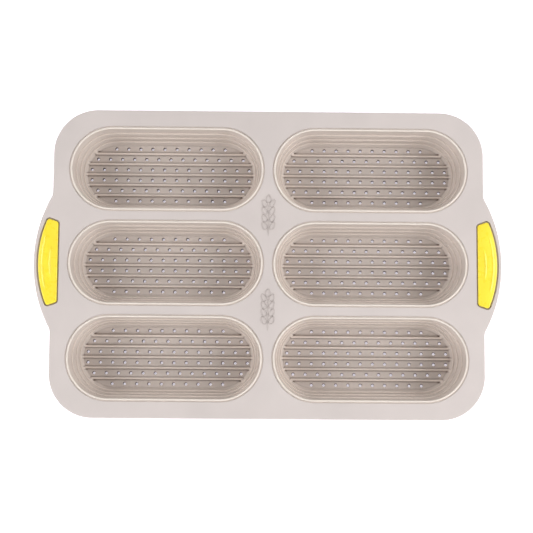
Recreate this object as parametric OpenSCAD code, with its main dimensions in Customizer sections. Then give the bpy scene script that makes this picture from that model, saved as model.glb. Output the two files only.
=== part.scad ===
// Baguette tray: a silicone baking tray with six perforated, step-sided wells, a steel wire
// frame moulded into its thick rim, and a coloured grip let into the handle tab at each end.
// The origin is the centre of the face that the tray rests on. +X runs along the tray,
// +Y to its back and +Z up, out of the wells.

/* [Body] */
// Length between the two straight ends
body_l = 343; // [341:1:350]
// Width over the two long sides
body_w = 244.6; // [244:0.2:252]
// Radius of the four corners
corner_r = 35; // [30:1:40]
// Length over both handle tabs
overall_l = 371; // [369:1:374]
// Radius of a handle tab's outer edge
tab_r = 110; // [106:1:114]
// Radius of the blend between a tab and the straight end beside it
tab_blend_r = 8; // [5:1:12]
// Thickness of the deck between the wells
deck_t = 2; // [1.6:0.1:2.6]
// Depth of the thick rim that holds the wire frame
rim_h = 6.4; // [6:0.1:8]
// Width of the thick rim along the long sides
rim_side_w = 7; // [6:0.5:9]
// Width of the thick rim along the ends, which frames the grips
rim_end_w = 10; // [9:0.5:11]

/* [Wells] */
// Distance between the two columns of wells
well_pitch_x = 162.2; // [161:0.2:163]
// Distance between the three rows of wells
well_pitch_y = 75.1; // [74:0.1:76]
// Length of a well's straight side
well_straight = 87.4; // [70:0.2:88]
// Radius of a well's end at its mouth
mouth_r = 31.75; // [30:0.25:32]
// Radius of a well's end at its floor
floor_r = 24.7; // [23:0.1:26]
// Depth from the deck down to the floor
well_depth = 29.3; // [24:0.1:34]
// Number of tiers in a well's wall
tiers = 4; // [2:1:4]
// How much taller each tier is than the one below it
tier_growth = 1.95; // [0:0.05:2.2]
// How much more the lowest tier flares than the others, which rounds the well's foot
foot_flare = 1.05; // [0:0.05:1.2]
// Width of the ledge between two tiers
ledge_w = 1.2; // [0.6:0.1:1.6]
// Thickness of a well's wall
wall_t = 1.8; // [1.2:0.1:2]
// Radius of the bead round a well's mouth
bead_r = 0.7; // [0.4:0.1:0.9]
// Width of the flat flange from a well's mouth to the deck
flange_w = 2.25; // [2:0.05:2.5]

/* [Floor] */
// Thickness of the perforated floor
floor_t = 2; // [1.6:0.1:2.6]
// Chamfer round the floor's lower edge
foot_chamfer = 0.8; // [0.4:0.1:1.2]
// Diameter of a hole
hole_d = 2.5; // [2:0.1:3]
// Distance between the holes of a row
hole_pitch = 10; // [8:0.5:12]
// Distance between the rows of holes, and between the ribs
row_pitch = 8.66; // [8:0.02:9]
// Number of rows of holes
rows = 6; // [4:2:6]
// Furthest that a hole's centre lies from a well's middle line
hole_reach = 22; // [20:0.5:22.5]
// Width of a rib
rib_w = 2; // [1.6:0.1:3]
// Height of a rib above the floor
rib_h = 2.2; // [1.2:0.1:2.5]

/* [Wire frame] */
// Diameter of the steel wire
wire_d = 3; // [2.5:0.1:3.5]
// Distance from the wire's middle to the tray's edge
wire_inset = 3.5; // [3:0.1:4]
// Distance from the tray's middle to the wire inside a grip
wire_grip_x = 174.6; // [173.5:0.1:175.5]
// Half-length of the wire's straight run inside a grip
wire_grip_y = 20; // [16:1:22]
// Angle at which the wire slants out to a grip
wire_slant = 20; // [16:1:24]
// Radius of the bends at both ends of the slant
wire_bend_r = 15; // [10:1:20]

/* [Grips] */
// Distance from the tray's middle to a grip's straight inner edge
grip_inner_x = 166.6; // [166:0.1:167.4]
// Distance from the tray's middle to a grip's outer edge
grip_outer_x = 182; // [181:0.1:182.3]
// Radius of a grip's outer edge
grip_arc_r = 85; // [70:1:100]
// Half-length of a grip at its inner edge
grip_inner_y = 31.7; // [28:0.1:32]
// How much further a grip reaches at its outer corners
grip_point = 2.8; // [1.5:0.1:3.5]
// Radius of a grip's corners
grip_corner_r = 2; // [1:0.1:3]
// Width of the groove round a grip
groove_w = 1.2; // [0.6:0.1:1.4]
// Depth of the groove, above and below the web that closes it
groove_d = 1.6; // [1.2:0.1:1.6]
// Height of a grip's crest above the deck
grip_crest = 1.2; // [0.8:0.1:1.6]
// Radius of the crowned top across a grip
grip_crown_r = 32; // [28:1:50]

/* [Hidden] */
$fn = 96;

silicone = [0.83, 0.79, 0.77];
grip_yellow = [0.99, 0.89, 0.27];
steel = [0.75, 0.75, 0.77];

deck_z = floor_t + well_depth;
well_half = well_straight / 2;
flange_r = mouth_r + flange_w;
foot_tier_h = well_depth / tiers - tier_growth * (tiers - 1) / 2;
draft = (mouth_r - floor_r - foot_flare - (tiers - 1) * ledge_w) / tiers;

tab_x = overall_l / 2 - tab_r;
end_x = body_l / 2;
corner = [end_x - corner_r, body_w / 2 - corner_r];
wire_z = deck_z - rim_h / 2;
bend_swell = 0.04;
bend_lap = 0.4;
blend_steps = 8;
blend_sink = 0.05;
past = 1;

// Inner radius of the wall at the foot of tier k, and the height of that foot
function tier_r(k) = floor_r + k * (draft + ledge_w) + (k > 0 ? foot_flare : 0);
function tier_z(k) = floor_t + k * foot_tier_h + tier_growth * k * (k - 1) / 2;

// Inner radius of the wall at the top of tier k
function tier_top_r(k) = tier_r(k + 1) - ledge_w;

// A rectangle with rounded corners, about the origin
module rounded_rect(length, width, r) {
    square([length - 2 * r, width], center = true);
    square([length, width - 2 * r], center = true);
    for (sx = [-1, 1], sy = [-1, 1])
        translate([sx * (length / 2 - r), sy * (width / 2 - r)])
            circle(r);
}

// A stadium: a straight-sided slot with round ends, along X
module stadium(r) {
    square([well_straight, 2 * r], center = true);
    for (s = [-1, 1])
        translate([s * well_half, 0])
            circle(r);
}

// The concave blend between a handle tab and the straight end, on the +X +Y corner. It is
// sunk a touch into both, so that all three join in one outline
module tab_blend() {
    centre_x = end_x + tab_blend_r;
    centre_y = sqrt(pow(tab_r + tab_blend_r, 2) - pow(centre_x - tab_x, 2));
    sweep = atan2(centre_y, centre_x - tab_x);
    curve = [
        for (i = [0 : blend_steps])
            let (a = 180 + sweep * i / blend_steps)
                [centre_x + tab_blend_r * cos(a), centre_y + tab_blend_r * sin(a)]
    ];
    translate([-blend_sink, 0])
        polygon(concat(
            curve, [[end_x - past, centre_y - tab_blend_r], [end_x - past, centre_y]]
        ));
}

// A block of the tray's whole outline: the body, the two tabs and the blends between them
module tray_block(height) {
    linear_extrude(height)
        rounded_rect(body_l, body_w, corner_r);
    for (sx = [0, 1])
        mirror([sx, 0, 0]) {
            translate([tab_x, 0, 0])
                cylinder(r = tab_r, h = height, $fn = 360);
            for (sy = [0, 1])
                mirror([0, sy, 0])
                    linear_extrude(height)
                        tab_blend();
        }
}

// The part of the deck that is thin, inside the thick rim
module thin_area() {
    rounded_rect(body_l - 2 * rim_end_w, body_w - 2 * rim_side_w, corner_r - rim_side_w);
}

// The outline of the right grip, grown by the given distance all round
module grip_outline(grow) {
    offset(r = grip_corner_r + grow)
        offset(delta = -grip_corner_r)
            intersection() {
                translate([grip_outer_x - grip_arc_r, 0])
                    circle(grip_arc_r, $fn = 240);
                polygon([
                    [grip_inner_x, -grip_inner_y],
                    [grip_outer_x, -grip_inner_y - grip_point * 2],
                    [grip_outer_x, grip_inner_y + grip_point * 2],
                    [grip_inner_x, grip_inner_y]
                ]);
            }
}

// Sweeps a profile, drawn as distance from the middle line and height, round a stadium
module around_well() {
    for (s = [0, 1]) {
        mirror([s, 0, 0])
            translate([well_half, 0, 0])
                rotate_extrude(angle = 180, start = -90)
                    children();
        mirror([0, s, 0])
            rotate([90, 0, 90])
                translate([0, 0, -well_half])
                    linear_extrude(well_straight)
                        children();
    }
}

// A straight run of wire, lapped a little into the bend at each of its ends
module wire_run(length) {
    translate([0, 0, -bend_lap])
        cylinder(d = wire_d, h = length + 2 * bend_lap, $fn = 48);
}

// A bend in the wire, which is a touch fatter than a straight run, as bent wire is
module wire_bend(r, angle, start = 0) {
    rotate_extrude(angle = angle, start = start)
        translate([r, 0])
            circle(d = wire_d + bend_swell, $fn = 48);
}

// A quarter of the wire frame, without its runs along the side and through the grip
module wire_quarter() {
    end_line_x = end_x - wire_inset;
    slant_x = wire_grip_x - end_line_x - 2 * wire_bend_r * (1 - cos(wire_slant));
    slant_run = slant_x / sin(wire_slant);
    inner_bend = [wire_grip_x - wire_bend_r, wire_grip_y];
    outer_bend = [
        end_line_x + wire_bend_r,
        wire_grip_y + 2 * wire_bend_r * sin(wire_slant) + slant_run * cos(wire_slant)
    ];
    translate(corner)
        wire_bend(corner_r - wire_inset, 90);
    translate([end_line_x, outer_bend[1], 0])
        rotate([-90, 0, 0])
            wire_run(corner[1] - outer_bend[1]);
    translate(outer_bend)
        wire_bend(wire_bend_r, wire_slant, 180);
    translate(inner_bend) {
        wire_bend(wire_bend_r, wire_slant);
        rotate([0, 0, wire_slant])
            translate([wire_bend_r, 0, 0])
                rotate([-90, 0, 0])
                    wire_run(slant_run);
    }
}

// The wire frame's closed ring, with a bow out through each grip
module wire_ring() {
    translate([0, 0, wire_z]) {
        for (sx = [0, 1], sy = [0, 1])
            mirror([sx, 0, 0])
                mirror([0, sy, 0])
                    wire_quarter();
        for (s = [-1, 1]) {
            translate([-corner[0], s * (body_w / 2 - wire_inset), 0])
                rotate([0, 90, 0])
                    wire_run(2 * corner[0]);
            translate([s * wire_grip_x, -wire_grip_y, 0])
                rotate([-90, 0, 0])
                    wire_run(2 * wire_grip_y);
        }
    }
}

// Puts a child at each well's place: sx is -1 for left and 1 for right, sy is 1 for back,
// 0 for middle and -1 for front
module at_well(sx, sy) {
    translate([sx * well_pitch_x / 2, sy * well_pitch_y, 0])
        children();
}

// The opening for the right grip: it fits the grip in the middle, where a web of the deck
// meets it, and is wider above and below, which leaves a groove round the grip
module grip_window() {
    translate([0, 0, deck_z - rim_h - past])
        linear_extrude(rim_h + 2 * past)
            grip_outline(0);
    for (z = [deck_z - groove_d, deck_z - rim_h - past])
        translate([0, 0, z])
            linear_extrude(groove_d + past)
                grip_outline(groove_w);
}

module deck() {
    color(silicone)
        difference() {
            translate([0, 0, deck_z - rim_h])
                tray_block(rim_h);
            translate([0, 0, deck_z - rim_h - past])
                linear_extrude(rim_h - deck_t + past)
                    thin_area();
            for (sx = [-1, 1], sy = [-1 : 1])
                at_well(sx, sy)
                    translate([0, 0, deck_z - deck_t - past])
                        linear_extrude(deck_t + 2 * past)
                            stadium(flange_r);
            for (s = [0, 1])
                mirror([s, 0, 0])
                    grip_window();
            wire_ring();
        }
}

module steel_frame() {
    color(steel)
        wire_ring();
}

// The right grip: a block with a crowned top, moulded on the wire
module grip() {
    middle_x = (grip_inner_x + grip_outer_x) / 2;
    color(grip_yellow)
        difference() {
            intersection() {
                translate([0, 0, deck_z - rim_h])
                    linear_extrude(rim_h + grip_crest + past)
                        grip_outline(0);
                translate([middle_x, 0, deck_z + grip_crest - grip_crown_r])
                    rotate([90, 0, 0])
                        cylinder(r = grip_crown_r, h = body_w, center = true, $fn = 180);
            }
            wire_ring();
        }
}

module right_grip() {
    grip();
}

module left_grip() {
    mirror([1, 0, 0])
        grip();
}

// A well's wall: tiers with a ledge between each two, a bead round the mouth and a flange
// that meets the deck
module well_wall(sx, sy) {
    inner = [
        for (k = [0 : tiers - 1])
            each [[tier_r(k), tier_z(k)], [tier_top_r(k), tier_z(k + 1)]]
    ];
    outer = [
        for (k = [tiers - 1 : -1 : 0])
            each [
                [tier_top_r(k) + wall_t, tier_z(k + 1) - deck_t],
                [tier_r(k) + wall_t, k == 0 ? floor_t : tier_z(k) - deck_t]
            ]
    ];
    color(silicone)
        at_well(sx, sy)
            around_well() {
                polygon(concat(
                    inner, [[flange_r, deck_z], [flange_r, deck_z - deck_t]], outer
                ));
                translate([mouth_r + bead_r, deck_z])
                    circle(bead_r, $fn = 32);
            }
}

// A well's floor: a perforated slab with a rib between each two rows of holes
module well_floor(sx, sy) {
    slab_r = floor_r + wall_t;
    color(silicone)
        at_well(sx, sy)
            difference() {
                union() {
                    around_well()
                        polygon([
                            [0, 0], [slab_r - foot_chamfer, 0], [slab_r, foot_chamfer],
                            [slab_r, floor_t], [0, floor_t]
                        ]);
                    intersection() {
                        translate([0, 0, floor_t / 2])
                            linear_extrude(floor_t + rib_h)
                                stadium(floor_r);
                        for (i = [1 : rows - 1])
                            translate([0, (i - rows / 2) * row_pitch, 0])
                                floor_rib();
                    }
                }
                floor_holes();
            }
}

// One rib along the floor, with a round top
module floor_rib() {
    rotate([90, 0, 90])
        linear_extrude(well_straight + 2 * floor_r, center = true) {
            translate([-rib_w / 2, floor_t / 2])
                square([rib_w, floor_t / 2 + rib_h - rib_w / 2]);
            translate([0, floor_t + rib_h - rib_w / 2])
                circle(d = rib_w, $fn = 32);
        }
}

// The holes lie in staggered rows, wherever their centres are near enough to the middle line
module floor_holes() {
    for (row = [0 : rows - 1]) {
        y = (row - (rows - 1) / 2) * row_pitch;
        stagger = (row % 3 == 1) ? 0 : hole_pitch / 2;
        reach = well_half + sqrt(pow(hole_reach, 2) - y * y);
        last = floor((reach - stagger) / hole_pitch);
        first = stagger == 0 ? -last : -last - 1;
        for (i = [first : last])
            translate([stagger + i * hole_pitch, y, -past])
                cylinder(d = hole_d, h = floor_t + 2 * past, $fn = 32);
    }
}

deck();
steel_frame();
left_grip();
right_grip();
well_wall(-1, 1);  // back_left_wall
well_wall(1, 1);  // back_right_wall
well_wall(-1, 0);  // middle_left_wall
well_wall(1, 0);  // middle_right_wall
well_wall(-1, -1);  // front_left_wall
well_wall(1, -1);  // front_right_wall
well_floor(-1, 1);  // back_left_floor
well_floor(1, 1);  // back_right_floor
well_floor(-1, 0);  // middle_left_floor
well_floor(1, 0);  // middle_right_floor
well_floor(-1, -1);  // front_left_floor
well_floor(1, -1);  // front_right_floor
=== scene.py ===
"""The looks of a baguette tray: a silicone tray with six perforated wells and two grips."""

import math

import bmesh
import bpy
import numpy as np
from mathutils import Euler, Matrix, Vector
from mathutils.geometry import delaunay_2d_cdt


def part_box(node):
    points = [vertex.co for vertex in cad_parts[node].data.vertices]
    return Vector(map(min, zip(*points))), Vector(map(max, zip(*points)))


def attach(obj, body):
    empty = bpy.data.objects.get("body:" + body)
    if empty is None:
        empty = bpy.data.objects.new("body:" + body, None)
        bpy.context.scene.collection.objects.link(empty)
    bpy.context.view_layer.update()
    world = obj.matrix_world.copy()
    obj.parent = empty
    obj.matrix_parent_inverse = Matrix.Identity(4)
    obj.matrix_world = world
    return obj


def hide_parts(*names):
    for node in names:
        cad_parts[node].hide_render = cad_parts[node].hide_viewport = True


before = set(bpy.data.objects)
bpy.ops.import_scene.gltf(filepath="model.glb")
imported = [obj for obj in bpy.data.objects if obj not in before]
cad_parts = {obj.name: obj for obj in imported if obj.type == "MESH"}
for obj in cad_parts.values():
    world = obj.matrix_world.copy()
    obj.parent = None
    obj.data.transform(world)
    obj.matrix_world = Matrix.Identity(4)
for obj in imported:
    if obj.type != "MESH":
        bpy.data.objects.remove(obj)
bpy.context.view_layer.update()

MM = 0.001

# The tray's outline, as on the CAD part
BODY_L = 343 * MM
BODY_W = 244.6 * MM
CORNER_R = 35 * MM
OVERALL_L = 371 * MM
TAB_R = 110 * MM
TAB_BLEND_R = 8 * MM
DECK_T = 2 * MM
RIM_SIDE_W = 7 * MM
RIM_END_W = 10 * MM
RIM_EDGE_R = 1.0 * MM
RIM_FOOT_R = 1.0 * MM

# A well, as on the CAD part
WELL_HALF = 43.7 * MM
MOUTH_R = 31.75 * MM
FLOOR_R = 24.7 * MM
TIERS = 4
TIER_GROWTH = 1.95 * MM
FOOT_FLARE = 1.05 * MM
LEDGE_W = 1.2 * MM
WALL_T = 1.8 * MM
BEAD_R = 0.7 * MM
OPENING_R = 34 * MM
FLOOR_T = 2 * MM
FOOT_R = 0.8 * MM

# The floor's holes and ribs
HOLE_R = 1.25 * MM
HOLE_FLARE = 0.4 * MM
HOLE_NARROW_R = 1.0 * MM
HOLE_LEAN = (0.25 * MM, -0.4 * MM)
HOLE_FOOT_R = 0.25 * MM
HOLE_SIDES = 24
HOLE_PITCH = 10 * MM
HOLE_REACH = 22 * MM
ROW_PITCH = 8.66 * MM
ROWS = 6
RIB_W = 2 * MM
RIB_H = 2.2 * MM
RIB_FOOT_R = 0.15 * MM
RIB_DRAFT = 0.06 * MM

# Small fillets
FLOOR_FILLET = 0.5 * MM
LEDGE_FILLET = 0.5 * MM
UNDER_FILLET = 0.8 * MM
CREASE_DEPTH = 0.5 * MM
OPENING_EDGE_R = 0.5 * MM
# How far the wall's section starts above the ribs, and how far its flange laps into the deck
RIB_CLEAR = 0.3 * MM
FLANGE_LAP = 0.3 * MM

# The grips
GRIP_INNER_X = 166.6 * MM
GRIP_OUTER_X = 182 * MM
GRIP_ARC_R = 85 * MM
GRIP_INNER_Y = 31.7 * MM
GRIP_POINT = 2.8 * MM
GRIP_CORNER_R = 2 * MM
GROOVE_W = 1.2 * MM
GROOVE_D = 1.6 * MM
GRIP_CREST = 0.68 * MM
GRIP_CROWN_R = 32 * MM
GRIP_EDGE_R = 0.8 * MM
WINDOW_EDGE_R = 0.25 * MM
GROOVE_FILLET = 0.25 * MM
# How far the deck's web runs in under a grip's side
GRIP_LAP = 0.1 * MM

DECK_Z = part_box("deck")[1].z
RIM_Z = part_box("deck")[0].z
WELL_NAMES = [f"{row}_{side}" for row in ("back", "middle", "front") for side in ("left", "right")]


# ---------------------------------------------------------------- mesh tools

# Points nearer than this are one point
WELD = 1e-7
# The fill's own tolerance, in millimetres
FILL_TOLERANCE = 1e-4
# Steps round a quarter turn at the end of a well, and in a small fillet
BEND_STEPS = 24
FILLET_STEPS = 4


def inside(points, edges):
    """Which points lie inside closed outlines that are given by their edges, as an array."""
    crossings = np.zeros(len(points), int)
    for (x0, y0), (x1, y1) in edges:
        if y0 == y1:
            continue
        spans = (points[:, 1] >= min(y0, y1)) & (points[:, 1] < max(y0, y1))
        x = x0 + (points[:, 1] - y0) * (x1 - x0) / (y1 - y0)
        crossings += spans & (x > points[:, 0])
    return crossings % 2 == 1


class Shell:
    """The points and faces of one or more closed surfaces, in metres."""

    def __init__(self):
        self.points = []
        self.faces = []

    def ring(self, points):
        first = len(self.points)
        self.points.extend(tuple(p) for p in points)
        return list(range(first, len(self.points)))

    def bridge(self, a, b):
        n = len(a)
        self.faces.extend((a[i], a[(i + 1) % n], b[(i + 1) % n], b[i]) for i in range(n))

    def loft(self, rings):
        for a, b in zip(rings, rings[1:]):
            self.bridge(a, b)

    def fill(self, loops, height, lines=(), extra=()):
        """Fills the region inside the first loop and outside the others with triangles. Points that
        the fill adds take their height from height(x, y)."""
        ids = [i for loop in loops for i in loop]
        flat = [Vector(self.points[i][:2]) / MM for i in ids] + [Vector(p) / MM for p in extra]
        edges, start = [], 0
        for loop in loops:
            n = len(loop)
            edges.extend((start + k, start + (k + 1) % n) for k in range(n))
            start += n
        boundary = list(edges)
        place = {v: k for k, v in enumerate(ids)}
        edges.extend((place[a], place[b]) for a, b in lines)
        verts, _, faces, origins, _, _ = delaunay_2d_cdt(flat, edges, [], 0, FILL_TOLERANCE)
        names = []
        for v, origin in zip(verts, origins):
            known = [k for k in origin if k < len(ids)]
            if known:
                names.append(ids[known[0]])
            else:
                x, y = v.x * MM, v.y * MM
                names.append(self.ring([(x, y, height(x, y))])[0])
        at = np.array([v[:] for v in verts])
        faces = np.array(faces)
        centres = at[faces].mean(1)
        ends = np.array([[flat[a][:], flat[b][:]] for a, b in boundary])
        for face in faces[inside(centres, ends)]:
            self.faces.append(tuple(names[k] for k in face))

    def piece(self, name, material, slot):
        mesh = bpy.data.meshes.new(name)
        mesh.from_pydata(self.points, [], self.faces)
        bm = bmesh.new()
        bm.from_mesh(mesh)
        bmesh.ops.remove_doubles(bm, verts=bm.verts, dist=WELD)
        bmesh.ops.recalc_face_normals(bm, faces=bm.faces)
        bm.to_mesh(mesh)
        bm.free()
        mesh.shade_smooth()
        return placed(name, mesh, material)


def placed(name, mesh, material):
    piece = bpy.data.objects.new(name, mesh)
    bpy.context.scene.collection.objects.link(piece)
    mesh.materials.clear()
    mesh.materials.append(material)
    weighted = piece.modifiers.new("weighted normals", "WEIGHTED_NORMAL")
    weighted.mode = "FACE_AREA"
    weighted.keep_sharp = False
    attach(piece, "root")
    return piece


def rounded(corners, radii):
    """A path through corners, with each inner corner rounded to its radius."""
    path = [corners[0]]
    for before, corner, after, r in zip(corners, corners[1:], corners[2:], radii):
        p, c, q = (np.array(v, float) for v in (before, corner, after))
        u, v = (p - c) / np.linalg.norm(p - c), (q - c) / np.linalg.norm(q - c)
        half = math.acos(max(-1.0, min(1.0, float(u @ v)))) / 2
        if r <= 0 or abs(half - math.pi / 2) < 1e-4:
            path.append(corner)
            continue
        reach = r / math.tan(half)
        middle = c + (u + v) / np.linalg.norm(u + v) * (r / math.sin(half))
        a, b = c + u * reach - middle, c + v * reach - middle
        sweep = math.pi - 2 * half
        for i in range(FILLET_STEPS + 1):
            t = i / FILLET_STEPS
            at = (math.sin((1 - t) * sweep) * a + math.sin(t * sweep) * b) / math.sin(sweep)
            path.append(tuple(middle + at))
    path.append(corners[-1])
    return path


def arc(centre, start, end, steps):
    """Stations on an arc: each is a base point and an outward direction, angles in radians."""
    angles = [start + (end - start) * i / steps for i in range(steps + 1)]
    return [(*centre, math.cos(a), math.sin(a)) for a in angles]


def mirrored(quarter):
    """A whole closed track from its quarter, which runs from the +X axis to the +Y axis."""
    upper = quarter + [(-x, y, -nx, ny) for x, y, nx, ny in reversed(quarter[:-1])]
    return upper + [(x, -y, nx, -ny) for x, y, nx, ny in reversed(upper[1:-1])]


def moved(track, dx, dy):
    return [(x + dx, y + dy, nx, ny) for x, y, nx, ny in track]


def offset(track, out, z):
    """The ring at a distance out from a track, at height z."""
    return [(x + nx * out, y + ny * out, z) for x, y, nx, ny in track]


def lofted(shell, track, profile):
    """Sweeps a profile of (distance out, height) along a track and returns its rings."""
    rings = [shell.ring(offset(track, out, z)) for out, z in profile]
    shell.loft(rings)
    return rings


# ---------------------------------------------------------------- outlines

def stadium_track(angles):
    """Stations round a well's middle line. angles are those of one quarter, in radians."""
    along = 6
    quarter = [(WELL_HALF, 0.0, math.cos(a), math.sin(a)) for a in angles]
    quarter += [(WELL_HALF * (1 - i / along), 0.0, 0.0, 1.0) for i in range(1, along + 1)]
    return mirrored(quarter)


def even_angles():
    return [math.pi / 2 * i / BEND_STEPS for i in range(BEND_STEPS + 1)]


def outline_track():
    """Stations round the tray's outline: each base point is on the outline itself."""
    tab_x = OVERALL_L / 2 - TAB_R
    end_x = BODY_L / 2
    centre_x = end_x + TAB_BLEND_R
    centre_y = math.sqrt((TAB_R + TAB_BLEND_R) ** 2 - (centre_x - tab_x) ** 2)
    sweep = math.atan2(centre_y, centre_x - tab_x)
    corner = (end_x - CORNER_R, BODY_W / 2 - CORNER_R)

    def on(stations, r, sign=1):
        return [(x + nx * r, y + ny * r, nx * sign, ny * sign) for x, y, nx, ny in stations]

    tab = on(arc((tab_x, 0), 0, sweep, 28), TAB_R)
    blend = on(arc((centre_x, centre_y), math.pi + sweep, math.pi, 8), TAB_BLEND_R, -1)
    side = [(end_x, centre_y + (corner[1] - centre_y) * i / 4, 1.0, 0.0) for i in range(1, 4)]
    bend = on(arc(corner, 0, math.pi / 2, 32), CORNER_R)
    back = [(corner[0] * (1 - i / 8), BODY_W / 2, 0.0, 1.0) for i in range(1, 9)]
    return mirrored(tab + blend[1:] + side + bend + back)


def thin_area_track():
    """Stations round the thin part of the deck, inside the thick rim."""
    r = CORNER_R - RIM_SIDE_W
    corner = (BODY_L / 2 - RIM_END_W - r, BODY_W / 2 - RIM_SIDE_W - r)
    bend = [(x + nx * r, y + ny * r, nx, ny) for x, y, nx, ny in arc(corner, 0, math.pi / 2, 24)]
    end = [(corner[0] + r, corner[1] * i / 6, 1.0, 0.0) for i in range(6)]
    back = [(corner[0] * (1 - i / 8), corner[1] + r, 0.0, 1.0) for i in range(1, 9)]
    return mirrored(end + bend + back)


def grip_track(side):
    """Stations round a grip, each a corner radius inside its outline. side is 1 or -1."""
    r = GRIP_CORNER_R
    centre_x = GRIP_OUTER_X - GRIP_ARC_R
    run, rise = GRIP_OUTER_X - GRIP_INNER_X, 2 * GRIP_POINT
    slant = math.atan2(rise, run)
    normal = (-math.sin(slant), math.cos(slant))
    inner_x = GRIP_INNER_X + r

    def slant_at(x):
        """The y of the end's middle line, a corner radius inside the slanted end."""
        return GRIP_INNER_Y + (x - GRIP_INNER_X) * rise / run - r / math.cos(slant)

    inner_y = slant_at(inner_x)
    x = GRIP_OUTER_X - r
    for _ in range(30):
        y = slant_at(x)
        x = centre_x + math.sqrt((GRIP_ARC_R - r) ** 2 - y * y)
    outer_x, outer_y = x, slant_at(x)
    reach = math.atan2(outer_y, outer_x - centre_x)
    n_slant = math.atan2(normal[1], normal[0])

    def on_arc(a):
        return (centre_x + (GRIP_ARC_R - r) * math.cos(a), (GRIP_ARC_R - r) * math.sin(a),
                math.cos(a), math.sin(a))

    upper = [on_arc(reach * i / 20) for i in range(21)]
    upper += arc((outer_x, outer_y), reach, n_slant, 8)[1:]
    upper += [(outer_x + (inner_x - outer_x) * i / 6, outer_y + (inner_y - outer_y) * i / 6,
               *normal) for i in range(1, 6)]
    upper += arc((inner_x, inner_y), n_slant, math.pi, 8)
    upper += [(inner_x, inner_y * (1 - i / 16), -1.0, 0.0) for i in range(1, 17)]
    track = upper + [(x, -y, nx, -ny) for x, y, nx, ny in reversed(upper[1:-1])]
    return [(side * x, y, side * nx, ny) for x, y, nx, ny in track]


# ---------------------------------------------------------------- the wells

def rib_profile():
    """Half of a rib's section, as (distance from its middle, height), from its foot to its crest."""
    half, foot, top = RIB_W / 2, RIB_FOOT_R, RIB_W / 2 - RIB_DRAFT
    path = [(half + foot * (1 - math.sin(a)), foot * (1 - math.cos(a)))
            for a in (0, math.pi / 6, math.pi / 3, math.pi / 2)]
    path += [(top * math.cos(a), RIB_H - top + top * math.sin(a))
             for a in (0, 0.26, 0.52, 0.79, 1.05, 1.31)]
    return path


RIB_PROFILE = rib_profile()
RIB_MIDDLES = [(i - ROWS / 2) * ROW_PITCH for i in range(1, ROWS)]


def rib_height(y):
    """How far the ribs stand above the floor at a distance y from the well's middle line."""
    away = min(abs(y - middle) for middle in RIB_MIDDLES)
    if away >= RIB_PROFILE[0][0]:
        return 0.0
    outs = [p[0] for p in reversed(RIB_PROFILE)]
    ups = [p[1] for p in reversed(RIB_PROFILE)]
    return float(np.interp(away, [0.0] + outs, [RIB_H] + ups))


def rib_lines():
    """The distances from the middle line at which a rib's section has a corner, on the +Y side."""
    found = set()
    for middle in RIB_MIDDLES:
        for out in [p[0] for p in RIB_PROFILE] + [0.0]:
            for y in (middle - out, middle + out):
                found.add(round(abs(y), 9))
    return sorted(found)


def floor_angles(r):
    """Angles of one quarter's stations, so that each rib line ends at one of them."""
    special = [math.asin(y / r) for y in rib_lines()]
    plain = [a for a in even_angles() if min(abs(a - s) for s in special) > math.radians(1)]
    return sorted(special + plain)


def hole_places():
    places = []
    for row in range(ROWS):
        y = (row - (ROWS - 1) / 2) * ROW_PITCH
        stagger = 0 if row % 3 == 1 else HOLE_PITCH / 2
        reach = WELL_HALF + math.sqrt(HOLE_REACH ** 2 - y * y)
        last = math.floor((reach - stagger) / HOLE_PITCH)
        first = -last if stagger == 0 else -last - 1
        places += [(stagger + i * HOLE_PITCH, y) for i in range(first, last + 1)]
    return places


def hole(shell, x, y):
    """One through hole with a flared mouth, which narrows and leans to the right and the front
    as it goes down. Returns its ring in the floor and under it."""
    track = [(x, y, math.cos(a), math.sin(a)) for a in
             (2 * math.pi * i / HOLE_SIDES for i in range(HOLE_SIDES))]
    flare, foot = HOLE_FLARE, HOLE_FOOT_R
    profile = [(HOLE_R + flare * (1 - math.sin(a)), FLOOR_T - flare * (1 - math.cos(a)), (0, 0))
               for a in (math.pi / 8 * i for i in range(5))]
    profile += [(HOLE_NARROW_R + foot * (1 - math.cos(a)), foot * (1 - math.sin(a)), HOLE_LEAN)
                for a in (math.pi / 6 * i for i in range(4))]
    rings = [shell.ring(offset(moved(track, *lean), out, z)) for out, z, lean in profile]
    shell.loft(rings)
    return rings[0], rings[-1]


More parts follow.
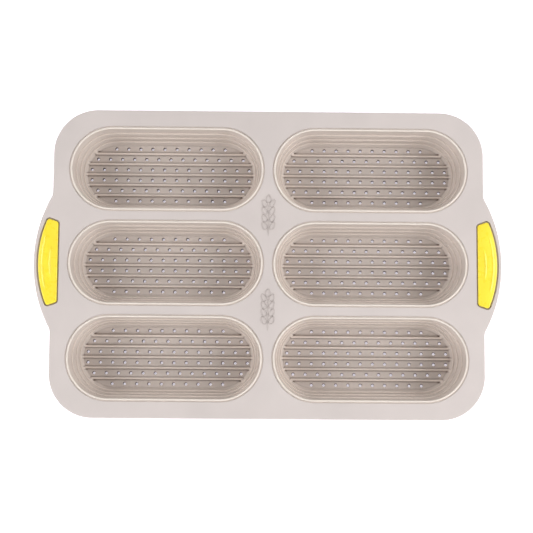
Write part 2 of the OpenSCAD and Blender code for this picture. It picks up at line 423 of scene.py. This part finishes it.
def wall_profile():
    """The wall's section from above the floor's fillet, up inside, over the bead, across the
    crease into the deck, and down outside to the foot, as (distance out, height)."""
    foot_h = (DECK_Z - FLOOR_T) / TIERS - TIER_GROWTH * (TIERS - 1) / 2
    draft = (MOUTH_R - FLOOR_R - FOOT_FLARE - (TIERS - 1) * LEDGE_W) / TIERS

    def foot(k):
        """The inner radius and the height of the wall at the foot of tier k."""
        return (FLOOR_R + k * (draft + LEDGE_W) + (FOOT_FLARE if k else 0),
                FLOOR_T + k * foot_h + TIER_GROWTH * k * (k - 1) / 2)

    start = RIB_H + FLOOR_FILLET + RIB_CLEAR
    inner = [(FLOOR_R + (draft + FOOT_FLARE) * start / foot_h, FLOOR_T + start)]
    radii = []
    for k in range(TIERS - 1):
        r, z = foot(k + 1)
        inner += [(r - LEDGE_W, z), (r, z)]
        radii += [LEDGE_FILLET, LEDGE_FILLET]
    inner.append((MOUTH_R, DECK_Z - 0.2 * MM))
    path = rounded(inner, radii)
    bead_x = MOUTH_R + BEAD_R
    path += [(bead_x - BEAD_R * math.cos(a), DECK_Z + BEAD_R * math.sin(a))
             for a in (math.pi * i / 12 for i in range(13))]
    crease_x, crease_z = MOUTH_R + 2 * BEAD_R, DECK_Z - CREASE_DEPTH
    sunk = OPENING_R + FLANGE_LAP
    path += rounded([(crease_x, DECK_Z - 0.15 * MM), (crease_x + 0.05 * MM, crease_z),
                     (sunk, crease_z), (sunk, DECK_Z - DECK_T + FLANGE_LAP),
                     (OPENING_R, DECK_Z - DECK_T)], [FLANGE_LAP, 0, 0])
    outer, radii = [(OPENING_R, DECK_Z - DECK_T)], []
    for k in range(TIERS - 1, -1, -1):
        r, z = foot(k)
        r_top, z_top = foot(k + 1)
        outer += [(r_top - LEDGE_W + WALL_T, z_top - DECK_T),
                  (r + WALL_T, z - DECK_T if k else FLOOR_T)]
        radii += [LEDGE_FILLET if k == TIERS - 1 else UNDER_FILLET, UNDER_FILLET]
    radii[-1] = 0
    slab = FLOOR_R + WALL_T
    outer += [(slab, 0.0), (slab - 2 * FOOT_R, 0.0)]
    radii += [FOOT_R]
    below = rounded(outer, radii)[1:]
    below[-1] = (slab - FOOT_R - 0.05 * MM, 0.0)
    return path + below


def well_shell():
    """One well about its own middle: a closed shell with a perforated floor."""
    shell = Shell()
    foot_r = FLOOR_R - FLOOR_FILLET
    track = stadium_track(floor_angles(foot_r))
    heights = [rib_height(y + ny * foot_r) for x, y, nx, ny in track]
    rings = []
    for i in range(5):
        a = math.pi / 8 * i
        out = foot_r + FLOOR_FILLET * math.sin(a)
        rise = FLOOR_T + FLOOR_FILLET * (1 - math.cos(a))
        rings.append(shell.ring((x + nx * out, y + ny * out, rise + h)
                                for (x, y, nx, ny), h in zip(track, heights)))
    shell.loft(rings)
    wall = lofted(shell, track, wall_profile())
    shell.bridge(rings[-1], wall[0])
    tops, feet = zip(*(hole(shell, x, y) for x, y in hole_places()))
    ends = {}
    for k, (x, y, nx, ny) in zip(rings[0], track):
        ends.setdefault(round(y + ny * foot_r, 7), []).append(k)
    lines = []
    for y in rib_lines():
        for level in {round(y, 7), round(-y, 7)}:
            pair = [k for at, ks in ends.items() if abs(at - level) < 2e-7 for k in ks]
            assert len(pair) == 2, f"rib line at {level} has {len(pair)} ends"
            lines.append(tuple(pair))
    shell.fill([rings[0], *tops], lambda x, y: FLOOR_T + rib_height(y), lines)
    shell.fill([wall[-1], *feet], lambda x, y: 0.0)
    return shell


def build_wells(material):
    shell = well_shell()
    for name in WELL_NAMES:
        lo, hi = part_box(f"{name}_floor")
        dx, dy = (lo.x + hi.x) / 2, (lo.y + hi.y) / 2
        well = Shell()
        well.points = [(x + dx, y + dy, z) for x, y, z in shell.points]
        well.faces = shell.faces
        piece = well.piece(f"well_{name}", material, "silicone")
        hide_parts(f"{name}_wall", f"{name}_floor")


# ---------------------------------------------------------------- the deck

def build_deck(material):
    shell = Shell()
    under_z = DECK_Z - DECK_T
    quarter = [math.pi / 2 * i / 5 for i in range(6)]

    def edge(r, z, sign):
        """A quarter-round edge as (inset, height), from the flat to the side. sign 1 is a top."""
        return [(r * (1 - math.sin(a)), z - sign * r * (1 - math.cos(a))) for a in quarter]

    outer = edge(RIM_EDGE_R, DECK_Z, 1) + edge(RIM_FOOT_R, RIM_Z, -1)[::-1]
    rim = lofted(shell, outline_track(), [(-inset, z) for inset, z in outer])

    tops, unders, windows_top, windows_foot = [], [], [], []
    for name in WELL_NAMES:
        lo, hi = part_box(f"{name}_floor")
        track = moved(stadium_track(even_angles()), (lo.x + hi.x) / 2, (lo.y + hi.y) / 2)
        profile = [(OPENING_R + inset, z) for inset, z in edge(OPENING_EDGE_R, DECK_Z, 1)]
        profile += [(OPENING_R, under_z + 0.1 * MM), (OPENING_R + 0.1 * MM, under_z)]
        rings = lofted(shell, track, profile)
        tops.append(rings[0])
        unders.append(rings[-1])
    for side in (-1, 1):
        track = grip_track(side)
        wide = GRIP_CORNER_R + GROOVE_W
        snug = GRIP_CORNER_R - GRIP_LAP
        bed, cut = GROOVE_FILLET, 0.3 * GROOVE_FILLET
        floor, roof = DECK_Z - GROOVE_D, RIM_Z + GROOVE_D
        profile = [(wide + inset, z) for inset, z in edge(WINDOW_EDGE_R, DECK_Z, 1)]
        profile += [(wide, floor + bed), (wide - cut, floor + cut), (wide - bed, floor),
                    (snug, floor), (snug, roof),
                    (wide - bed, roof), (wide - cut, roof - cut), (wide, roof - bed)]
        profile += [(wide + inset, z) for inset, z in edge(WINDOW_EDGE_R, RIM_Z, -1)[::-1]]
        rings = lofted(shell, track, profile)
        windows_top.append(rings[0])
        windows_foot.append(rings[-1])

    thin = [(inset, z) for inset, z in edge(RIM_FOOT_R / 2, RIM_Z, -1)]
    thin += [(-inset, z) for inset, z in edge(RIM_FOOT_R, under_z, 1)[::-1]]
    inner = lofted(shell, thin_area_track(), thin)

    shell.fill([rim[0], *tops, *windows_top], lambda x, y: DECK_Z)
    shell.fill([rim[-1], inner[0], *windows_foot], lambda x, y: RIM_Z)
    shell.fill([inner[-1], *unders], lambda x, y: under_z)
    deck = shell.piece("tray_deck", material, "silicone")
    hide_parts("deck")


# ---------------------------------------------------------------- the grips

RIDGES = [(3.6 * MM, 22.5 * MM), (9.6 * MM, 12.5 * MM)]
RIDGE_H = 0.55 * MM
RIDGE_HALF_W = 0.8 * MM
RIDGE_TAPER = 4 * MM


def grip_height(side):
    """The height of a grip's crowned top, with its two raised arcs."""
    middle = (GRIP_INNER_X + GRIP_OUTER_X) / 2
    centre_x = GRIP_OUTER_X - GRIP_ARC_R

    def height(x, y):
        across = side * x - middle
        z = DECK_Z + GRIP_CREST - GRIP_CROWN_R + math.sqrt(GRIP_CROWN_R ** 2 - across ** 2)
        r = math.hypot(side * x - centre_x, y)
        for inset, reach in RIDGES:
            away = abs(r - (GRIP_ARC_R - inset)) / RIDGE_HALF_W
            if away < 1:
                fade = max(0.0, min(1.0, (reach - abs(y)) / RIDGE_TAPER))
                z += RIDGE_H * fade * (0.5 + 0.5 * math.cos(math.pi * away))
        return z

    return height


def build_grip(name, side, material):
    shell = Shell()
    track = grip_track(side)
    height = grip_height(side)
    quarter = [math.pi / 2 * i / 6 for i in range(7)]
    rings = []
    for a in quarter:
        inset = GRIP_EDGE_R * (1 - math.cos(a))
        drop = GRIP_EDGE_R * (1 - math.sin(a))
        flat = offset(track, GRIP_CORNER_R - GRIP_EDGE_R, 0)
        ring = offset(track, GRIP_CORNER_R - inset, 0)
        rings.append(shell.ring((x, y, height(fx, fy) - drop)
                                for (x, y, _), (fx, fy, _) in zip(ring, flat)))
    shell.loft(rings)
    foot = lofted(shell, track, [(GRIP_CORNER_R - GRIP_EDGE_R * (1 - math.sin(a)),
                                  RIM_Z + GRIP_EDGE_R * (1 - math.cos(a))) for a in quarter])
    shell.bridge(rings[0], foot[-1])
    lo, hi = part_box(f"{name.split('_')[1]}_grip")
    step = 0.45 * MM
    xs = np.arange(lo.x, hi.x, step)
    ys = np.arange(lo.y, hi.y, 2 * step)
    border = [(x, y) for x, y, _ in offset(track, GRIP_CORNER_R - GRIP_EDGE_R - 0.3 * MM, 0)]
    grid = np.array([(x, y) for x in xs for y in ys])
    within = [tuple(p) for p in grid[inside(grid, zip(border, border[1:] + border[:1]))]]
    shell.fill([rings[-1]], height, extra=within)
    shell.fill([foot[0]], lambda x, y: RIM_Z)
    piece = shell.piece(name, material, "grip")
    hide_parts(f"{name.split('_')[1]}_grip")


# ---------------------------------------------------------------- the wheat-ear reliefs

LINE_HALF_W = 0.32 * MM
LINE_H = 0.5 * MM
LINE_SIDES = 10
KERNEL_L = 6.2 * MM
KERNEL_W = 3.4 * MM
KERNEL_X = 3.2 * MM
KERNEL_PITCH = 6 * MM
KERNEL_LEAN = 0.45
LOWEST_KERNEL_Y = -7.5 * MM
TIP_Y = 14.2 * MM
STALK_Y = -15.5 * MM
STALK_L = 25 * MM
RELIEF_Y = 37.5 * MM


def tube(shell, path, closed):
    """A raised line: an oval tube along path, half sunk in the deck."""
    count = len(path)
    at = np.array(path)
    ahead = np.roll(at, -1, 0) - np.roll(at, 1, 0)
    if not closed:
        ahead[0], ahead[-1] = at[1] - at[0], at[-1] - at[-2]
    ahead /= np.linalg.norm(ahead, axis=1)[:, None]
    rings = []
    for k, ((x, y), (tx, ty)) in enumerate(zip(at, ahead)):
        taper = 1.0 if closed else math.sqrt(max(0.02, 1 - (abs(2 * k / (count - 1) - 1)) ** 8))
        ring = []
        for i in range(LINE_SIDES):
            a = 2 * math.pi * i / LINE_SIDES
            out = LINE_HALF_W * taper * math.cos(a)
            ring.append((x - ty * out, y + tx * out, DECK_Z + LINE_H * taper * math.sin(a)))
        rings.append(shell.ring(ring))
    shell.loft(rings)
    if closed:
        shell.bridge(rings[-1], rings[0])
    else:
        shell.faces.append(tuple(rings[0]))
        shell.faces.append(tuple(reversed(rings[-1])))


def kernel(x, y, lean):
    """A grain's outline, narrower at its far end."""
    path, steps = [], 28
    for i in range(steps):
        a = 2 * math.pi * i / steps
        along = KERNEL_L / 2 * math.cos(a)
        out = KERNEL_W / 2 * math.sin(a) * (1 - 0.25 * math.cos(a))
        path.append((x + along * math.sin(lean) + out * math.cos(lean),
                     y + along * math.cos(lean) - out * math.sin(lean)))
    return path


def build_relief(name, y0, material):
    """A wheat ear in raised lines, on the web where four wells meet."""
    shell = Shell()
    for k in range(4):
        for side in (-1, 1):
            y = y0 + LOWEST_KERNEL_Y + k * KERNEL_PITCH
            tube(shell, kernel(side * KERNEL_X, y, side * KERNEL_LEAN), True)
    tube(shell, kernel(0, y0 + TIP_Y, 0), True)
    tube(shell, [(0, y0 + STALK_Y + STALK_L * i / 24) for i in range(25)], False)
    shell.piece(name, material, "silicone")


# ---------------------------------------------------------------- materials

AO_SAMPLES = 12
# Painted shade: how open a crease is, and what it multiplies the colour by
DECK_PAINTED_SHADE = [(0.38, (0.36, 0.29, 0.24)), (0.9, (1, 1, 1))]
WELL_PAINTED_SHADE = [(0.38, (0.26, 0.205, 0.17)), (0.92, (1, 1, 1))]
# How far a fold may be from its other side and still be a crease, and a hole still a hole, for the
# painted shade
DECK_REACH = 2.5 * MM
WELL_REACH = 1.7 * MM
RELIEF_REACH = 1.0 * MM
HOLE_SHELTER = 4 * MM


def new_material(name, colour, roughness, specular):
    material = bpy.data.materials.new(name)
    material.use_nodes = True
    shader = material.node_tree.nodes["Principled BSDF"]
    shader.inputs["Base Color"].default_value = (*colour, 1)
    shader.inputs["Roughness"].default_value = roughness
    shader.inputs["Specular IOR Level"].default_value = specular
    return material, shader


def noise(material, scale, detail):
    """A noise texture in object space. scale is in cycles a metre."""
    tree = material.node_tree
    where = tree.nodes.new("ShaderNodeTexCoord")
    texture = tree.nodes.new("ShaderNodeTexNoise")
    texture.inputs["Scale"].default_value = scale
    texture.inputs["Detail"].default_value = detail
    tree.links.new(where.outputs["Object"], texture.inputs["Vector"])
    return texture.outputs["Fac"]


def ramp(material, source, stops):
    """A colour ramp from source. stops are (position, colour)."""
    node = material.node_tree.nodes.new("ShaderNodeValToRGB")
    first, second = node.color_ramp.elements
    (first.position, low), (second.position, high) = stops
    first.color, second.color = (*low, 1), (*high, 1)
    material.node_tree.links.new(source, node.inputs["Fac"])
    return node.outputs["Color"]


def span(material, source, start, end, low=0.0, high=1.0):
    """source, mapped and held so that start to end gives low to high. The end may be the lower."""
    node = material.node_tree.nodes.new("ShaderNodeMapRange")
    for socket, value in (("From Min", start), ("From Max", end), ("To Min", low), ("To Max", high)):
        node.inputs[socket].default_value = value
    material.node_tree.links.new(source, node.inputs["Value"])
    return node.outputs["Result"]


def spread(material, source, low, high):
    """A noise, which varies about 0.5, spread to run from low to high."""
    return span(material, source, 0.3, 0.7, low, high)


def bump(material, shader, layers):
    """Bump from layers of (source, strength, height in metres), one over the other."""
    links, last = material.node_tree.links, None
    for source, strength, distance in layers:
        node = material.node_tree.nodes.new("ShaderNodeBump")
        node.inputs["Strength"].default_value = strength
        node.inputs["Distance"].default_value = distance
        links.new(source, node.inputs["Height"])
        if last:
            links.new(last, node.inputs["Normal"])
        last = node.outputs["Normal"]
    links.new(last, shader.inputs["Normal"])


def above(material, start, end, kind="Object"):
    """How far the z of the place, or of the normal, has come from start to end: 0 to 1."""
    tree = material.node_tree
    where = tree.nodes.new("ShaderNodeTexCoord")
    split = tree.nodes.new("ShaderNodeSeparateXYZ")
    tree.links.new(where.outputs[kind], split.inputs["Vector"])
    return span(material, split.outputs["Z"], start, end)


def turned(material, colour, other, *factors):
    """colour, turned to the other one by the product of the factors."""
    tree = material.node_tree
    both = factors[0]
    for factor in factors[1:]:
        product = tree.nodes.new("ShaderNodeMath")
        product.operation = "MULTIPLY"
        tree.links.new(both, product.inputs[0])
        tree.links.new(factor, product.inputs[1])
        both = product.outputs["Value"]
    mix = tree.nodes.new("ShaderNodeMix")
    mix.data_type = "RGBA"
    mix.inputs[7].default_value = (*other, 1)
    tree.links.new(both, mix.inputs["Factor"])
    tree.links.new(colour, mix.inputs[6])
    return mix.outputs[2]


def openness(material, reach):
    """How open a place is to what lies within reach: 1 on a flat face, less in a crease."""
    node = material.node_tree.nodes.new("ShaderNodeAmbientOcclusion")
    node.only_local = True
    node.samples = AO_SAMPLES
    node.inputs["Distance"].default_value = reach
    return node.outputs["AO"]


def painted_crease_shade(material, colour, is_open, stops):
    """colour, times a tint that runs through stops as a crease opens: painted shade, darkest in the
    tightest creases.
    """
    tree = material.node_tree
    tint = ramp(material, is_open, stops)
    shade = tree.nodes.new("ShaderNodeVectorMath")
    shade.operation = "MULTIPLY"
    tree.links.new(colour, shade.inputs[0])
    tree.links.new(tint, shade.inputs[1])
    return shade.outputs["Vector"]


def silicone_material(name, low, high, reach, stops, lip_highlight=None, crest=None, bore_shade=None):
    """Moulded silicone: matt, faintly mottled, with a fine eggshell grain, and darkened in creases as
    painted shade. Where given, a well's bead and the up-facing crests of its ribs and ledges are made
    paler as painted highlights, and the insides of its holes nearly black as painted shade."""
    material, shader = new_material(name, high, 0.5, 0.25)
    links = material.node_tree.links
    colour = ramp(material, noise(material, 28, 4), [(0.3, low), (0.7, high)])
    # Painted highlight: up-facing faces at and above the ribs' crests, the rib tops and the wall's
    # ledges, turn paler
    if crest:
        top = FLOOR_T + RIB_H
        colour = turned(material, colour, crest, above(material, top - 0.9 * MM, top - 0.3 * MM),
                        above(material, 0.5, 0.85, "Normal"))
    # Painted highlight: the bead and the wall just under it turn paler, fading in over half a
    # millimetre
    if lip_highlight:
        colour = turned(material, colour, lip_highlight, above(material, DECK_Z - 0.5 * MM, DECK_Z + 0.05 * MM))
    # Painted shade: every face is darkened in creases, by how open it is
    colour = painted_crease_shade(material, colour, openness(material, reach), stops)
    # Painted shade: the sheltered insides of the holes, below the floor's top, turn nearly black
    if bore_shade:
        colour = turned(material, colour, bore_shade, above(material, FLOOR_T - 0.1 * MM, FLOOR_T - 0.4 * MM),
                        span(material, openness(material, HOLE_SHELTER), 0.75, 0.55))
    links.new(colour, shader.inputs["Base Color"])
    links.new(spread(material, noise(material, 160, 4), 0.56, 0.7), shader.inputs["Roughness"])
    bump(material, shader, [(noise(material, 1400, 2), 0.12, 0.05 * MM),
                            (noise(material, 60, 2), 0.08, 0.3 * MM)])
    shader.inputs["Sheen Weight"].default_value = 0.03
    shader.inputs["Sheen Roughness"].default_value = 0.5
    return material


def grip_material():
    """Yellow silicone, smoother than the tray and a little glossy."""
    low, high = (0.94, 0.74, 0.038), (0.965, 0.785, 0.05)
    material, shader = new_material("grip_silicone", high, 0.3, 0.5)
    links = material.node_tree.links
    links.new(ramp(material, noise(material, 60, 3), [(0.3, low), (0.7, high)]),
              shader.inputs["Base Color"])
    links.new(spread(material, noise(material, 240, 3), 0.24, 0.36), shader.inputs["Roughness"])
    bump(material, shader, [(noise(material, 1600, 2), 0.08, 0.04 * MM)])
    return material


def steel_material():
    """Drawn steel wire, with fine lines and darker streaks."""
    low, high = (0.42, 0.42, 0.43), (0.62, 0.62, 0.63)
    material, shader = new_material("frame_steel", high, 0.3, 0.5)
    shader.inputs["Metallic"].default_value = 1.0
    links = material.node_tree.links
    links.new(ramp(material, noise(material, 90, 5), [(0.3, low), (0.7, high)]),
              shader.inputs["Base Color"])
    links.new(spread(material, noise(material, 300, 3), 0.24, 0.42), shader.inputs["Roughness"])
    bump(material, shader, [(noise(material, 2500, 2), 0.1, 0.02 * MM)])
    return material


def floor_material():
    """A matt white studio table that is lit from below and turns to the backdrop's white
    away from the tray."""
    material, shader = new_material("studio_table", (0.9, 0.9, 0.9), 0.9, 0.2)
    tree = material.node_tree
    where = tree.nodes.new("ShaderNodeTexCoord")
    away = tree.nodes.new("ShaderNodeVectorMath")
    away.operation = "LENGTH"
    tree.links.new(where.outputs["Object"], away.inputs[0])
    fade = span(material, away.outputs["Value"], GLOW_START, GLOW_END)
    glow = ramp(material, fade, [(0, TABLE_GLOW), (1, (1, 1, 1))])
    tree.links.new(glow, shader.inputs["Emission Color"])
    shader.inputs["Emission Strength"].default_value = BACKDROP
    return material


# ---------------------------------------------------------------- studio

TABLE_HALF = 6.0
TABLE_DROP = 0.0002
# The table's glow under the tray, and how far out, in metres, it turns to white
TABLE_GLOW = (0.552, 0.522, 0.6)
GLOW_START = 0.5
GLOW_END = 1.6
SKY = 0.05
BACKDROP = 1.0
LAMP_SIZE = 0.7
LAMP_REACH = 1.15
# Each lamp's bearing, height above the horizon in degrees, and power in watts
LAMPS = {
    "right": (0, 28, 9.4), "front": (270, 28, 7.0), "left": (180, 28, 8.6), "back": (90, 28, 3.6),
    "right_high": (0, 50, 1.3), "back_high": (90, 50, 0.3), "front_high": (270, 50, 0.7),
    "top": (0, 88, 0.8),
}
# The camera that the photo's perspective gives: lens and sensor in millimetres, its place in
# metres and its tilt in radians
CAMERA_LENS = 62.7101
SENSOR_W = 36
CAMERA_X, CAMERA_Y, CAMERA_ABOVE = -0.0061335, -0.0585921, 0.7327685
CAMERA_TILT = (-0.0765256, 0.00673009, -0.00832918)


def build_studio():
    half = TABLE_HALF
    table = Shell()
    corners = table.ring([(-half, -half, 0), (half, -half, 0), (half, half, 0), (-half, half, 0)])
    table.faces.append(tuple(corners))
    mesh = bpy.data.meshes.new("table")
    mesh.from_pydata([(x, y, -TABLE_DROP) for x, y, _ in table.points], [], table.faces)
    mesh.materials.append(floor_material())
    floor = bpy.data.objects.new("table", mesh)
    bpy.context.scene.collection.objects.link(floor)

    world = bpy.data.worlds.new("studio")
    world.use_nodes = True
    tree = world.node_tree
    background = tree.nodes["Background"]
    background.inputs["Color"].default_value = (1, 1, 1, 1)
    path = tree.nodes.new("ShaderNodeLightPath")
    strength = tree.nodes.new("ShaderNodeMapRange")
    strength.inputs["To Min"].default_value = SKY
    strength.inputs["To Max"].default_value = BACKDROP
    tree.links.new(path.outputs["Is Camera Ray"], strength.inputs["Value"])
    tree.links.new(strength.outputs["Result"], background.inputs["Strength"])
    bpy.context.scene.world = world

    for name, (bearing, height, power) in LAMPS.items():
        light = bpy.data.lights.new(name, "AREA")
        light.shape = "SQUARE"
        light.size = LAMP_SIZE
        light.energy = power
        lamp = bpy.data.objects.new(name, light)
        a, e = math.radians(bearing), math.radians(height)
        place = Vector((math.cos(a) * math.cos(e), math.sin(a) * math.cos(e), math.sin(e)))
        lamp.location = place * LAMP_REACH
        lamp.rotation_euler = (-place).to_track_quat("-Z", "Y").to_euler()
        bpy.context.scene.collection.objects.link(lamp)


def build_camera():
    camera = bpy.data.cameras.new("camera")
    camera.sensor_width = SENSOR_W
    camera.lens = CAMERA_LENS
    camera.clip_start, camera.clip_end = 0.05, 30
    eye = bpy.data.objects.new("camera", camera)
    eye.location = (CAMERA_X, CAMERA_Y, DECK_Z + CAMERA_ABOVE)
    tilt = Euler(CAMERA_TILT, "XYZ").to_matrix()
    eye.rotation_euler = tilt.transposed().to_euler()
    bpy.context.scene.collection.objects.link(eye)
    bpy.context.scene.camera = eye


def main():
    silicone = silicone_material("tray_silicone", (0.585, 0.528, 0.507), (0.625, 0.563, 0.541),
                                 DECK_REACH, DECK_PAINTED_SHADE)
    # The wells' silicone is a warmer copy of the deck's: the warmth is painted light, standing in for
    # light bounced between the wells' walls
    well_painted_light_silicone = silicone_material("well_painted_light_silicone", (0.58, 0.507, 0.462), (0.62, 0.544, 0.498),
                                      WELL_REACH, WELL_PAINTED_SHADE, lip_highlight=(0.785, 0.713, 0.65),
                                      crest=(0.745, 0.652, 0.588), bore_shade=(0.05, 0.038, 0.032))
    build_deck(silicone)
    build_wells(well_painted_light_silicone)
    grips = grip_material()
    build_grip("grip_left", -1, grips)
    build_grip("grip_right", 1, grips)
    # Painted shade: the raised lines' silicone is darker than the deck's, standing in for the shade
    # along them
    lines = silicone_material("relief_painted_shade_silicone", (0.52, 0.466, 0.445), (0.55, 0.494, 0.472),
                              RELIEF_REACH, DECK_PAINTED_SHADE)
    build_relief("relief_back", RELIEF_Y, lines)
    build_relief("relief_front", -RELIEF_Y, lines)
    frame_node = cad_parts["steel_frame"]
    frame_node.data.materials.clear()
    frame_node.data.materials.append(steel_material())
    build_studio()
    build_camera()
    bpy.context.scene.view_settings.view_transform = "Standard"


main()
